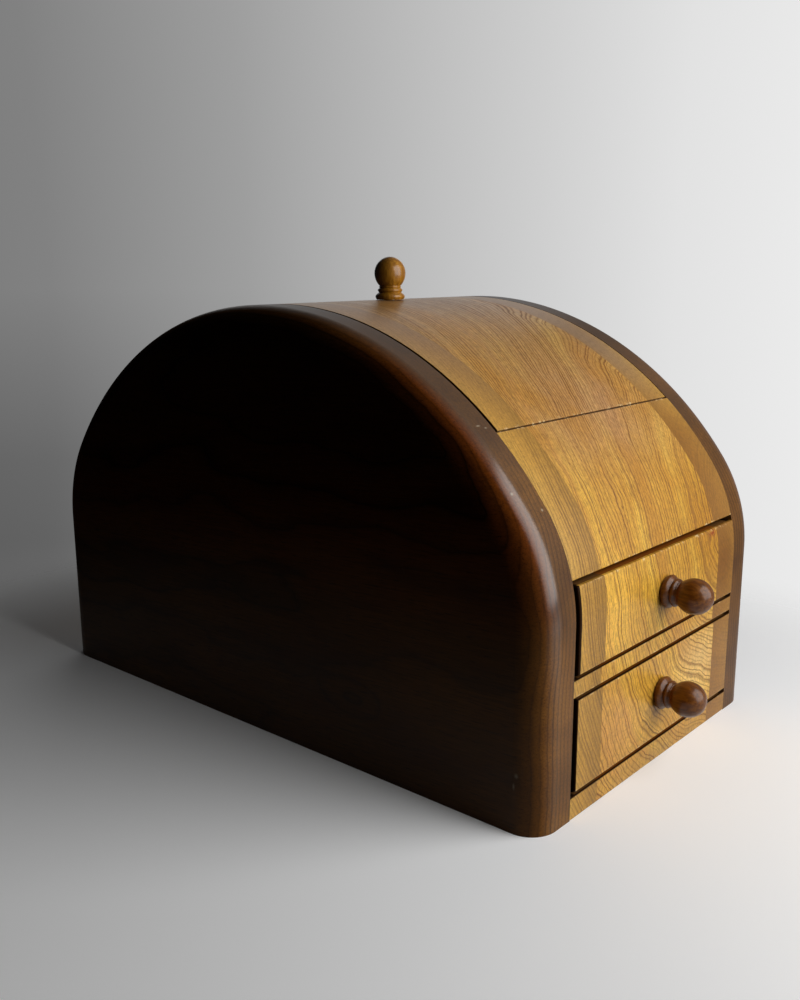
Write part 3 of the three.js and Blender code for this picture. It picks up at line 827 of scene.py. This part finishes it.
def dark_walnut():
    """Walnut, stained dark and oiled, with a few small nicks.

    Its rings lie nearly flat to the panel and lean a little, so they show as long wavy contours on the face,
    as straight lines along the top and as upright lines on the front edge. The round is rubbed brighter
    where hands hold the box. Painted warm light lies on the round's shoulder, and painted shade darkens the
    face and the crown.
    """
    material, tree = new_material("dark_stained_walnut")
    place = board_place(tree)
    turned = add(tree, "Mapping", {"Vector": place, "Rotation": (WALNUT_LEAN, 0, 0)})
    x, _, z = add(tree, "SeparateXYZ", (turned,), out=None).outputs
    depth = add(tree, "Math.ABSOLUTE", (x,))
    height = add(tree, "MapRange", (z, 0, WALNUT_HEIGHT))
    distance = add(tree, "Math.MULTIPLY_ADD", (z, 0.06, depth))
    distance = swayed(tree, turned, distance, [
        ((400, 280, 64), 12), ((300, 70, 24), 4), ((60, 26, 7), 0.9)], (2.7, 4.4, 1.9))
    distance = add(tree, "Math.ADD", (distance, spot(tree, place, *WALNUT_EYE)))
    line = ring_lines(tree, add(tree, "Math.DIVIDE", (distance, WALNUT_RING)), [
        (0, 1.0), (0.06, 0.7), (0.3, 0.15), (0.7, 0.0), (0.92, 0.35), (1, 1.0)], 0.4, 1)
    on_edge = add(tree, "MapRange", (z, *LINES_FADE_UP, 1, 0.35))
    line = add(tree, "Math.MULTIPLY", (line, add(tree, "MapRange", (depth, *LINES_TO_FACE, on_edge, 1))))
    ground = add(tree, "ValToRGB", (cloud(tree, turned, (30, 140, 26), 3, (8, 1, 4)),), [
        (0.3, "#583511"), (0.45, "#694316"), (0.58, "#754b1a"), (0.7, "#845720")])
    # Painted light: a warm tint on the round's shoulder, where the window falls on it.
    painted_warm_light = add(tree, "ValToRGB", (height,), [(0.32, 0.08), (0.5, 0.65), (0.78, 0.6), (0.92, 0.1)])
    painted_warm_light = add(tree, "Math.MULTIPLY", (painted_warm_light, add(tree, "MapRange", (depth, *ROUND_PAINTED_LIGHT))))
    wood = stained(tree, ground, (painted_warm_light, "#8c4010"), (line, "#2a1504"))
    wood, _ = mottled(tree, wood, cloud(tree, turned, (0.9, 30, 0.9), 3, (2, 2, 2)), 0.78, 1.18)
    pore = add(tree, "MapRange", (cloud(tree, turned, (0.35, 7, 0.35), 1), 0.58, 0.72, 0, 0.6))
    nicks = [(spot(tree, place, middle, size), "#b8a488") for middle, size in WALNUT_NICKS]
    wood = stained(tree, wood, (pore, "#24140a"), *nicks)
    # Painted shade: the face, turned from the light, and the crown are darkened.
    upper = add(tree, "ValToRGB", (height,), [(0.4, 0.84), (0.75, 0.6), (0.82, 0.48), (0.93, 0.22)])
    face_shade = add(tree, "Math.MULTIPLY_ADD", (
        add(tree, "MapRange", (depth, *FACE_PAINTED_SHADE)),
        add(tree, "MapRange", (z, *FACE_SHADE_GROWS_UP, -0.5, -0.82)), 1))
    dark = add(tree, "Math.MULTIPLY", (upper, face_shade))
    wood = add(tree, "VectorMath.SCALE", {0: wood, "Scale": dark})
    on_round = add(tree, "Math.MULTIPLY", (
        add(tree, "MapRange", (depth, *ROUND_RUBBED_IN)), add(tree, "MapRange", (depth, *ROUND_RUBBED_OUT))))
    rubbed = add(tree, "Math.MULTIPLY", (on_round, add(tree, "ValToRGB", (height,), [
        (0.2, 0.2), (0.43, 0.85), (0.6, 0.85), (0.7, 0.45), (0.85, 0.1)])))
    shine = add(tree, "ValToRGB", (height,), [(0.25, 0.28), (0.45, 0.16), (0.6, 0.22), (0.8, 0.65)])
    haze = add(tree, "MapRange", (z, *HAZE_FADES_UP, 0.14, 0.01))
    surface(tree, add(tree, "Math.ADD", (line, pore)), 0.2, 0.05, {
        "Base Color": wood, "Roughness": 0.48,
        "Specular IOR Level": add(tree, "MapRange", (depth, *ROUND_TO_HAZE, shine, haze)),
        "Coat Weight": rubbed, "Coat Roughness": 0.2})
    return material


walnut = dark_walnut()
arch = arch_side(1, 0, math.pi / 2)
arch = [(-half_length, 0, 0), (half_length, 0, 0), *arch, *[(-y, z, ease) for y, z, ease in arch[-2::-1]]]
for side, ends in (("left", (PANEL_ROUND, 0)), ("right", (0, PANEL_ROUND))):
    board(f"{side}_side_panel", arch, walnut, "dark_walnut", *ends, PANEL_ROUND_STEPS, level_foot=True)

# The lid
# The lid is the piece sawn out of the top of the block between two sloping cuts. It lifts straight off the
# well, and the width of the saw cut is the gap round it.
LID_SEAM_GAP = 0.4 * MM
LID_SIDE_EDGE = 0.4 * MM


def lid_outline():
    """A slab of the arch, with its ends cut parallel to the cuts in the carcass and a saw cut away."""
    outline = []
    for radius, edge in ((crown_radius, SEAM_EDGE), (crown_radius - WALL_UNDER_ARCH, SANDED_EDGE)):
        end = math.pi / 2 - lid_angle + LID_SEAM_GAP / radius
        ends = (math.pi - end, end) if outline else (end, math.pi - end)
        outline += with_ease(with_ease(arc(0, crown_centre, radius, *ends), 0, edge), -1, edge)
    return outline


board("lid_core", lid_outline(), golden, "golden_board")
board("lid_left_strip", lid_outline(), brown, "brown_strip", LID_SIDE_EDGE, 0)
board("lid_right_strip", lid_outline(), brown, "brown_strip", 0, LID_SIDE_EDGE)

# The drawers
# Each drawer was sawn out of the block in one piece. A slice was sawn off both of its sides, the middle was
# scooped out, and the slices were glued back on, so that its front still follows the arch.
DRAWER_FRONT = 14 * MM
DRAWER_BACK = 12 * MM
DRAWER_FLOOR = 7 * MM
SCOOP_CORNER = 14 * MM
DRAWER_BEVEL_RISE = 1.5 * MM
DRAWER_BEVEL_DEPTH = 3 * MM
DRAWER_EDGE = 0.5 * MM


def drawer_outline(name, scooped):
    """A drawer from the side: its front is the arch moved out a little, and it may be scooped."""
    low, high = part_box(f"{name}_core")
    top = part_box(f"{name}_left_side")[1].z
    front, back, bottom = low.y, high.y, low.z
    proud = -half_length - front
    corner = OPENING_CORNER
    face = [(-arch_half(top) - proud, top, DRAWER_EDGE)]
    if top > STRAIGHT_WALL:
        last = math.asin((top - STRAIGHT_WALL) / SHOULDER_RADIUS)
        curve = arc(shoulder_centre, STRAIGHT_WALL, SHOULDER_RADIUS, last, 0)
        face += [(-y - proud, z, 0) for y, z, _ in curve[1:]]
    scoop = []
    if scooped:
        start, end = front + DRAWER_FRONT, back - DRAWER_BACK
        up = bottom + DRAWER_FLOOR + SCOOP_CORNER
        scoop = [
            (end, top, DRAWER_EDGE),
            *arc(end - SCOOP_CORNER, up, SCOOP_CORNER, 0, -math.pi / 2),
            *arc(start + SCOOP_CORNER, up, SCOOP_CORNER, -math.pi / 2, -math.pi),
            (start, top, DRAWER_EDGE),
        ]
    return [
        *face,
        (front, bottom + DRAWER_BEVEL_RISE, DRAWER_EDGE),
        (front + DRAWER_BEVEL_DEPTH, bottom, 0),
        *arc(back - corner, bottom + corner, corner, -math.pi / 2, 0),
        *arc(back - corner, top - corner, corner, 0, math.pi / 2),
        *scoop,
    ]


for name in ("upper_drawer", "lower_drawer"):
    board(f"{name}_left_side", drawer_outline(name, False), brown, "brown_strip", DRAWER_EDGE, 0)
    board(f"{name}_left_strip", drawer_outline(name, True), brown, "brown_strip")
    board(f"{name}_core", drawer_outline(name, True), golden, "golden_board")
    board(f"{name}_right_strip", drawer_outline(name, True), brown, "brown_strip")
    board(f"{name}_right_side", drawer_outline(name, False), brown, "brown_strip", 0, DRAWER_EDGE)

# The knobs
# Three small turned knobs, stained and polished on the lathe: a foot with two beads, a narrow neck and an
# egg-shaped ball. Each has a tenon glued into a hole, one on top of the lid and one in each drawer's front.
KNOB_TENON_RADIUS = 3 * MM
KNOB_TENON_LENGTH = 9 * MM
# Each bead's start, end, and its radius at the low edge, where it is widest and at the high edge, in mm.
KNOB_BEADS = ((0, 3.2, 6.3, 6.95, 5.5), (3.4, 5.4, 5.3, 5.85, 5.0), (5.5, 6.2, 4.95, 5.25, 5.0))
KNOB_BEAD_WIDEST = 0.45
KNOB_BEAD_STEPS = 12
KNOB_NECK_RADIUS = 5 * MM
KNOB_BALL_RADIUS = 7.35 * MM
KNOB_BALL_MIDDLE = 12.05 * MM
KNOB_BALL_BELOW = 7.8 * MM
KNOB_BALL_ABOVE = 7.65 * MM
KNOB_BALL_STEPS = 28
KNOB_STEPS_ROUND = 64
LID_KNOB_STAIN = ("#6e4508", "#84560e", "#986818")
# The lid knob's side towards the window: the knob is painted lighter there as light, and darker on the far
# side as shade.
LID_KNOB_LIT_SIDE = (0.66, -0.75, 0)
DRAWER_KNOB_STAIN = ("#502a03", "#643605", "#78460c")


def knob_profile():
    """Half of the knob's outline, as (radius, 0, height) from the tenon's end to the top of the ball."""
    points = [(0, -KNOB_TENON_LENGTH), (KNOB_TENON_RADIUS, -KNOB_TENON_LENGTH), (KNOB_TENON_RADIUS, 0)]
    for start, end, low_edge, widest, high_edge in KNOB_BEADS:
        for i in range(KNOB_BEAD_STEPS + 1):
            share = i / KNOB_BEAD_STEPS
            past = share - KNOB_BEAD_WIDEST
            edge, reach = (low_edge, KNOB_BEAD_WIDEST) if past < 0 else (high_edge, 1 - KNOB_BEAD_WIDEST)
            swell = math.cos(math.pi / 2 * past / reach)
            points.append(((edge + (widest - edge) * swell) * MM, (start + (end - start) * share) * MM))
    first = -math.acos(KNOB_NECK_RADIUS / KNOB_BALL_RADIUS)
    for i in range(KNOB_BALL_STEPS + 1):
        angle = first + (math.pi / 2 - first) * i / KNOB_BALL_STEPS
        half = KNOB_BALL_BELOW if angle < 0 else KNOB_BALL_ABOVE
        points.append((KNOB_BALL_RADIUS * math.cos(angle), KNOB_BALL_MIDDLE + half * math.sin(angle)))
    return [(radius, 0, height) for radius, height in points]


def knob_tree():
    """A turned piece: the profile carried round its axis, tilted, and set on its seat."""
    tree, given = tree_with("turned_knob", Steps="Int", Tilt="Float", Seat="Vector", Finish="Material")
    profile = given["Geometry"]
    corners = add(tree, "AttributeDomainSize", (profile,))
    grid, column, along = wrapped_grid(tree, given["Steps"], corners)
    there = add(tree, "SampleIndex", {
        "Geometry": profile, "Value": add(tree, "InputPosition"), "Index": along}, data_type="FLOAT_VECTOR")
    turn = add(tree, "Math.MULTIPLY", (add(tree, "Math.DIVIDE", (column, given["Steps"])), 2 * math.pi))
    place = add(tree, "VectorRotate", {"Vector": there, "Angle": turn}, rotation_type="Z_AXIS")
    place = add(tree, "VectorRotate", {"Vector": place, "Angle": given["Tilt"]}, rotation_type="X_AXIS")
    place = add(tree, "VectorMath.ADD", (place, given["Seat"]))
    shape = add(tree, "SetPosition", {"Geometry": grid, "Position": place})
    return finish_tree(tree, shape, given["Finish"])


def turned_wood(name, stain, axis, coat, lit_side=None):
    """Straight-grained hardwood, stained and friction-polished on the lathe: long grain along the axis,
    turning lines across it, drawn 0.25 mm wide to show, and a soft bright highlight. A lit side, where one
    is given, is painted as light and shade: lighter towards the window and nearly black on the far side."""
    material, tree = new_material(name)
    place = board_place(tree)
    grain = cloud(tree, place, [9 if i == axis else 1.1 for i in range(3)], 3, (4, 6, 2))
    fine = cloud(tree, place, [4 if i == axis else 0.3 for i in range(3)], 1)
    turning = cloud(tree, place, [0.25 if i == axis else 40 for i in range(3)], 0, (1, 1, 1))
    wood = add(tree, "ValToRGB", (grain,), list(zip((0.3, 0.5, 0.7), stain)))
    wood, fine = mottled(tree, wood, fine, 0.9, 1.08)
    # Painted light and shade: lighter on the side towards the window and nearly black on the far side.
    if lit_side:
        painted_light_and_shade = add(tree, "MapRange", (add(tree, "VectorMath.DOT_PRODUCT", (place, lit_side)), -6, 6))
        painted_light_and_shade = add(tree, "ValToRGB", (painted_light_and_shade,), [(0, 0.03), (0.3, 0.2), (0.55, 0.38), (0.8, 0.62), (1, 0.7)])
        painted_light_and_shade = add(tree, "Math.MULTIPLY", (painted_light_and_shade, 2))
        wood = add(tree, "VectorMath.SCALE", {0: wood, "Scale": painted_light_and_shade})
    surface(tree, add(tree, "Math.ADD", (turning, fine)), 0.15, 0.03, {
        "Base Color": wood, "Roughness": 0.42, "Specular IOR Level": 0.12,
        "Coat Weight": coat, "Coat Roughness": 0.21}, sunken=False)
    return material


turned_knob = knob_tree()
lid_knob_wood = turned_wood("amber_stained_turned_wood", LID_KNOB_STAIN, 2, 0.75, LID_KNOB_LIT_SIDE)
drawer_knob_wood = turned_wood("dark_stained_turned_wood", DRAWER_KNOB_STAIN, 1, 0.45)
for node, tilt, wood in (
    ("lid_knob", 0, lid_knob_wood),
    ("upper_drawer_knob", math.pi / 2, drawer_knob_wood),
    ("lower_drawer_knob", math.pi / 2, drawer_knob_wood),
):
    low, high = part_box(node)
    seat = (low + high) / 2
    if tilt:
        seat.y = high.y - KNOB_TENON_LENGTH
    else:
        seat.z = low.z + KNOB_TENON_LENGTH
    made = mesh_object(node + "_turned", knob_profile(), [])
    grown(made, turned_knob, Steps=KNOB_STEPS_ROUND, Tilt=tilt, Seat=seat, Finish=wood)
    dressed(made, node)

# The felt
# A strip of wool felt is glued along the well and along each scoop: down the front slope, over the floor
# and up the back. It was cut a little short of the rim, and it lies a hair uneven on its glue.
FELT_THICKNESS = 1.2 * MM
FELT_GLUE = 0.3 * MM
FELT_STEP = 2.5 * MM
FELT_RISE_STEPS = 4
FELT_UNEVEN = 0.12 * MM
FELT_WAVE = 12 * MM
FELT_EDGE = 0.4 * MM


def wool_felt():
    """Pressed wool felt: matt, with a soft sheen at the edges, fibres matted at random and faint pilling.

    A fibre is about 0.02 mm thick, so the pile is drawn as tufts of 0.5 mm, which show.
    """
    material, tree = new_material("green_wool_felt")
    place = board_place(tree)
    pile = cloud(tree, place, (0.5, 0.5, 0.5), 4)
    ground = add(tree, "ValToRGB", (cloud(tree, place, (14, 14, 14), 3, (2, 4, 6)),), [
        (0.35, "#25402f"), (0.65, "#31513d")])
    wool, _ = mottled(tree, ground, pile, 0.7, 1.25)
    surface(tree, pile, 0.7, 0.25, {
        "Base Color": wool, "Roughness": 0.95, "Sheen Weight": 0.4, "Sheen Roughness": 0.5}, sunken=False)
    return material


def felt_strip(node, path):
    """A strip as wide as its node, laid along the path of (y, z) points on the wood, one felt thick."""
    low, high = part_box(node)
    across = max(2, round((high.x - low.x) / FELT_STEP))
    last = len(path) - 1
    points, faces = [], []
    for layer in (0, 1):
        for i, here in enumerate(path):
            along = (path[min(last, i + 1)] - path[max(0, i - 1)]).normalized()
            for j in range(across + 1):
                x = low.x + (high.x - low.x) * j / across
                depth = 0
                if layer:
                    wave = noise.noise(Vector((x, here.x, here.y)) / FELT_WAVE)
                    on_rim = min(i, last - i, j, across - j) == 0
                    depth = FELT_THICKNESS + FELT_UNEVEN * (wave - 1) - (FELT_EDGE if on_rim else 0)
                lifted = here + Vector((-along.y, along.x)) * depth
                points.append((x, lifted.x, lifted.y))
    width = across + 1
    size = len(path) * width
    for i in range(last):
        for j in range(across):
            a = i * width + j
            faces.append((a, a + 1, a + width + 1, a + width))
            faces.append((size + a, size + a + width, size + a + width + 1, size + a + 1))
    rim = [(0, j) for j in range(across)] + [(i, across) for i in range(last)]
    rim += [(last, j) for j in range(across, 0, -1)] + [(i, 0) for i in range(last, 0, -1)]
    for (i, j), (k, m) in zip(rim, rim[1:] + rim[:1]):
        a, b = i * width + j, k * width + m
        faces.append((b, a, size + a, size + b))
    made = mesh_object(node + "_strip", points, faces)
    made.data.materials.append(felt)
    outwards(made.data)
    made.data.shade_smooth()
    dressed(made, node)


def trough_path(front, back, floor_height, corner, rim):
    """The hollow's own line, moved in by the glue: down from the rim, along the floor and up."""
    front, back = front + FELT_GLUE, back - FELT_GLUE
    floor_height, corner = floor_height + FELT_GLUE, corner - FELT_GLUE
    up = floor_height + corner
    rises = range(FELT_RISE_STEPS) if rim > up + MM else []
    down = [(front, rim + (up - rim) * i / FELT_RISE_STEPS) for i in rises]
    turn = [point[:2] for point in arc(front + corner, up, corner, math.pi, 1.5 * math.pi)]
    turn_up = [point[:2] for point in arc(back - corner, up, corner, 1.5 * math.pi, 2 * math.pi)]
    start, reach = turn[-1][0], turn_up[0][0] - turn[-1][0]
    steps = round(reach / FELT_STEP)
    flat = [(start + reach * i / steps, floor_height) for i in range(1, steps)]
    rise_up = [(back, up + (rim - up) * (i + 1) / FELT_RISE_STEPS) for i in rises]
    return [Vector(point) for point in down + turn + flat + turn_up + rise_up]


felt = wool_felt()
rim_height = well_floor + WELL_CORNER
rim_half = arch_half(rim_height, WALL_UNDER_ARCH)
felt_strip("well_felt", trough_path(-rim_half, rim_half, well_floor, WELL_CORNER, rim_height))
for name in ("upper_drawer", "lower_drawer"):
    low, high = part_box(f"{name}_core")
    path = trough_path(low.y + DRAWER_FRONT, high.y - DRAWER_BACK, low.z + DRAWER_FLOOR, SCOOP_CORNER,
                       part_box(f"{name}_felt")[1].z)
    felt_strip(f"{name}_felt", path)
